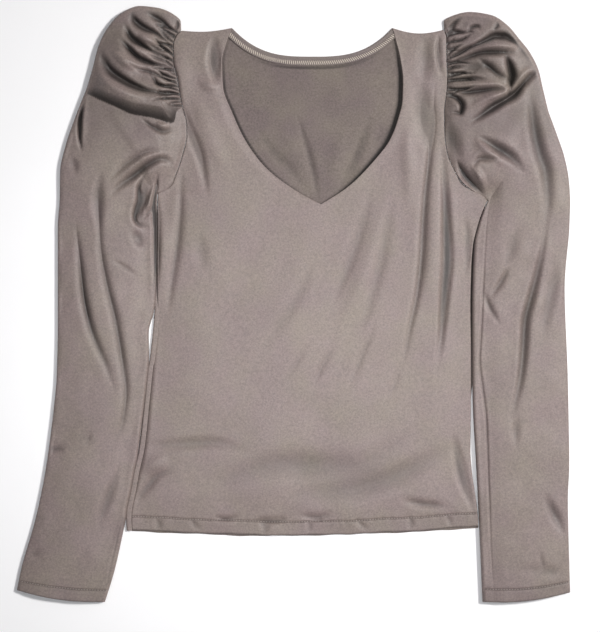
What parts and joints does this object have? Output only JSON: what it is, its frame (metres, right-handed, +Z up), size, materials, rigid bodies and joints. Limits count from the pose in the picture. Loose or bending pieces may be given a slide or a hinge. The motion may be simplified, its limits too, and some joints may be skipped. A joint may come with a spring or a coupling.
{
  "type": "women's long-sleeved v-neck puff-sleeve top, laid flat",
  "caption": "Long-sleeved V-neck jersey top with gathered puff sleeve heads, laid flat front side up on a surface.",
  "frame": {"origin": "on the surface that the top lies on, below the centre of the whole top", "axes": "+Y from the hem to the neck, +X to the wearer's left, +Z up, away from the surface"},
  "size_m": [0.607, 0.6531, 0.0205],
  "materials": {
    "back_jersey": "fine knitted jersey, soft satin sheen",
    "front_jersey": "fine knitted jersey, soft satin sheen",
    "overlocked_edge": "jersey edge bound by an overlock stitch in a paler thread",
    "right_sleeve_jersey": "fine knitted jersey, soft satin sheen",
    "left_sleeve_jersey": "fine knitted jersey, soft satin sheen"
  },
  "bodies": {
    "root": {"back": "back_jersey", "front": "front_jersey", "back_neck_turning": "overlocked_edge", "right_sleeve": "right_sleeve_jersey", "left_sleeve": "left_sleeve_jersey"}
  },
  "joints": []
}
